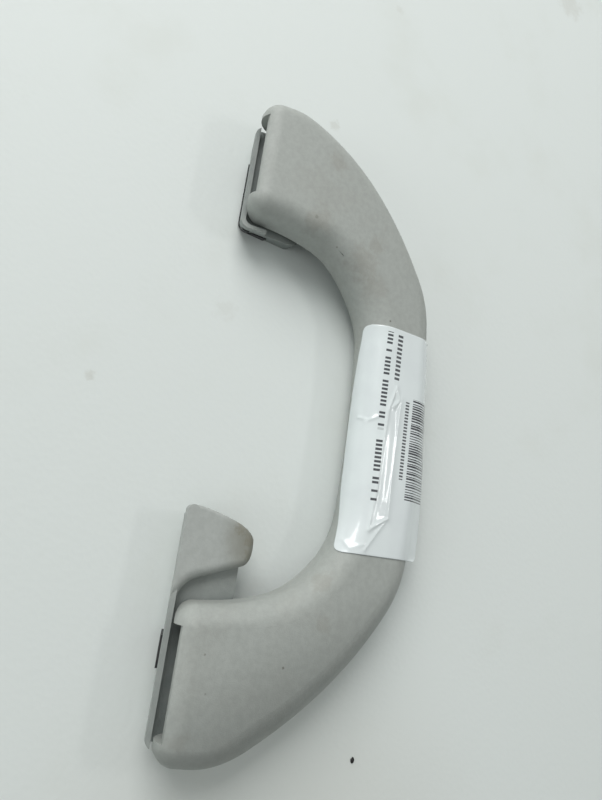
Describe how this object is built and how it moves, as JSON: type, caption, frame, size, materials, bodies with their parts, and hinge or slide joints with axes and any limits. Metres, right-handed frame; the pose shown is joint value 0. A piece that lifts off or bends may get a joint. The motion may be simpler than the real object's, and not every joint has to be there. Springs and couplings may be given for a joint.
{
  "type": "roof grab handle",
  "caption": "Folding roof grab handle: an arched grip with hollow feet turning on two screw-on brackets, the rear one with a moulded coat hook.",
  "frame": {"origin": "centre of the bounding box on the mounting plane", "axes": "+X along the handle towards the front bracket, +Y towards the hinge edge, +Z out of the mounting plane"},
  "size_m": [0.243, 0.0967, 0.0242],
  "materials": {
    "grip_plastic": "fine-grained matt",
    "bracket_plastic": "fine-grained matt",
    "pin_steel": "drawn",
    "spring_steel": "drawn",
    "damper_plastic": "smooth",
    "sleeve_steel": "zinc plated",
    "clip_black": "black coated",
    "label_film": "gloss"
  },
  "bodies": {
    "rear_mount": {"rear_bracket": "bracket_plastic", "rear_sleeves": "sleeve_steel", "rear_cover": "bracket_plastic", "rear_retainer": "clip_black"},
    "handle": {"grip": "grip_plastic", "label": "label_film", "front_pin": "pin_steel", "rear_pin": "pin_steel", "damper_sleeve": "damper_plastic"},
    "front_mount": {"front_bracket": "bracket_plastic", "front_sleeves": "sleeve_steel", "front_cover": "bracket_plastic", "front_retainer": "clip_black", "return_spring": "spring_steel"}
  },
  "joints": [
    {"name": "grip_fold", "type": "hinge", "parent": "rear_mount", "child": "handle", "pos_m": [-0.0935, 0.03803, 0.0172], "axis": [-1, 0, 0], "range_deg": [0, 90], "stiffness_Nm_per_rad": 0.05, "springref_deg": -51.57},
    {"name": "front_bracket_fold", "type": "hinge", "parent": "handle", "child": "front_mount", "pos_m": [0.0935, 0.03803, 0.0172], "axis": [-1, 0, 0], "range_deg": [-90, 0]}
  ],
  "couplings": [
    {"joint": "front_bracket_fold", "follows": "grip_fold", "ratio": -1}
  ]
}
